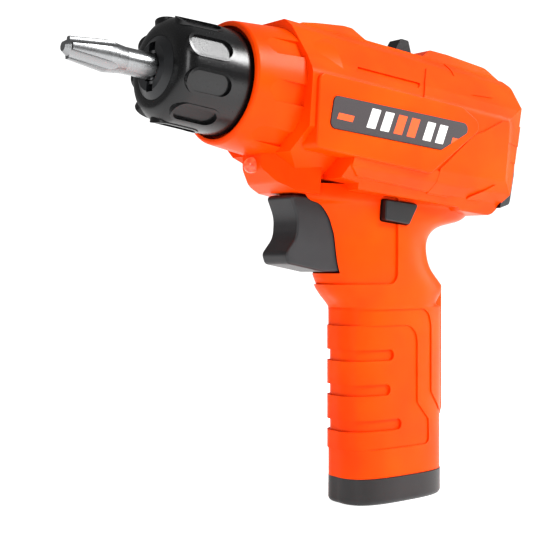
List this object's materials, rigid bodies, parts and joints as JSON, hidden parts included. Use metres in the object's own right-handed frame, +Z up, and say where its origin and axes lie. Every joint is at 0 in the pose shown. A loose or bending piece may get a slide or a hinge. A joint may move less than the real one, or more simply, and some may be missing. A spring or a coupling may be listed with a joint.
{
  "type": "toy power drill",
  "caption": "Pistol-grip toy cordless drill whose trigger, reversing button and top slider move, and whose chuck turns with a gear train and holds a cross-point bit.",
  "frame": {"origin": "middle of the battery cover's flat underside, on which the drill stands", "axes": "+X towards the chuck, +Y towards the drill's left side, +Z up; the barrel's axis is in the XZ plane, 4.8 degrees nose-up, through the point 131 mm above the origin"},
  "size_m": [0.1859, 0.049, 0.16],
  "materials": {
    "orange_plastic": "satin moulded shell",
    "black_plastic": "fine-textured moulding",
    "grey_plastic": "satin moulding",
    "badge_grey": "printed plate",
    "natural_nylon": "moulded gear plastic",
    "bit_silver": "silver metallised plastic",
    "shaft_steel": "bright steel",
    "plated_steel": "nickel plate",
    "spring_steel": "drawn wire",
    "motor_steel": "zinc-plated can",
    "brass": "turned",
    "copper_strip": "stamped strip",
    "board_brown": "phenolic board",
    "cell_wrap": null,
    "lamp_red": "clear tinted dome"
  },
  "bodies": {
    "housing": {"housing_left": "orange_plastic", "housing_right": "orange_plastic", "housing_screws": "plated_steel", "side_badge_left": "badge_grey", "side_badge_right": "badge_grey", "rear_cap": "black_plastic", "battery_cover": "black_plastic", "cover_screw": "plated_steel", "cell_front": "cell_wrap", "cell_rear": "cell_wrap", "battery_link_plate": "plated_steel", "battery_contact_front": "plated_steel", "battery_contact_rear": "plated_steel", "battery_spring_front": "spring_steel", "battery_spring_rear": "spring_steel", "battery_top_plate": "black_plastic", "lay_axle": "shaft_steel", "spindle_bush": "brass", "nose_bush": "black_plastic", "gearbox_rear_plate": "black_plastic", "gearbox_front_plate": "black_plastic", "gearbox_screws": "plated_steel", "motor_can": "motor_steel", "motor_end_bell": "black_plastic", "motor_terminals": "copper_strip", "trigger_spring": "spring_steel", "switch_board": "board_brown", "fixed_contacts": "copper_strip", "lamp_lens": "lamp_red", "lamp_leads": "copper_strip"},
    "chuck": {"chuck_sleeve": "black_plastic", "chuck_core": "grey_plastic", "bit_clip": "spring_steel", "output_wheel": "natural_nylon", "output_spindle": "plated_steel"},
    "bit": {"driver_bit": "bit_silver"},
    "rotor": {"motor_shaft": "shaft_steel", "motor_pinion": "brass", "motor_armature": "motor_steel"},
    "lay": {"lay_gear": "natural_nylon"},
    "trigger_body": {"trigger": "grey_plastic", "moving_contact": "copper_strip"},
    "button_body": {"direction_button": "grey_plastic"},
    "slider_body": {"top_slider": "grey_plastic"}
  },
  "joints": [
    {"name": "chuck_spin", "type": "hinge", "parent": "housing", "child": "chuck", "pos_m": [0, 0, 0.131], "axis": [0.9965, 0, 0.0837], "continuous": true},
    {"name": "bit_pull", "type": "slide", "parent": "chuck", "child": "bit", "axis": [0.9965, 0, 0.0837], "range_m": [0, 0.03]},
    {"name": "lay_spin", "type": "hinge", "parent": "housing", "child": "lay", "pos_m": [0.00096, 0, 0.11954], "axis": [0.9965, 0, 0.0837], "continuous": true},
    {"name": "motor_spin", "type": "hinge", "parent": "housing", "child": "rotor", "pos_m": [0, 0, 0.131], "axis": [0.9965, 0, 0.0837], "continuous": true},
    {"name": "trigger_pull", "type": "slide", "parent": "housing", "child": "trigger_body", "axis": [-1, 0, 0], "range_m": [0, 0.004], "stiffness_N_per_m": 300, "springref_m": -0.003, "deforming": ["trigger_spring"]},
    {"name": "button_push", "type": "slide", "parent": "housing", "child": "button_body", "axis": [0, 1, 0], "range_m": [-0.0024, 0.0024]},
    {"name": "slider_move", "type": "slide", "parent": "housing", "child": "slider_body", "axis": [0.9965, 0, 0.0837], "range_m": [-0.002, 0.002]}
  ],
  "couplings": [
    {"joint": "lay_spin", "follows": "chuck_spin", "ratio": -3.6},
    {"joint": "motor_spin", "follows": "chuck_spin", "ratio": 12.96}
  ]
}
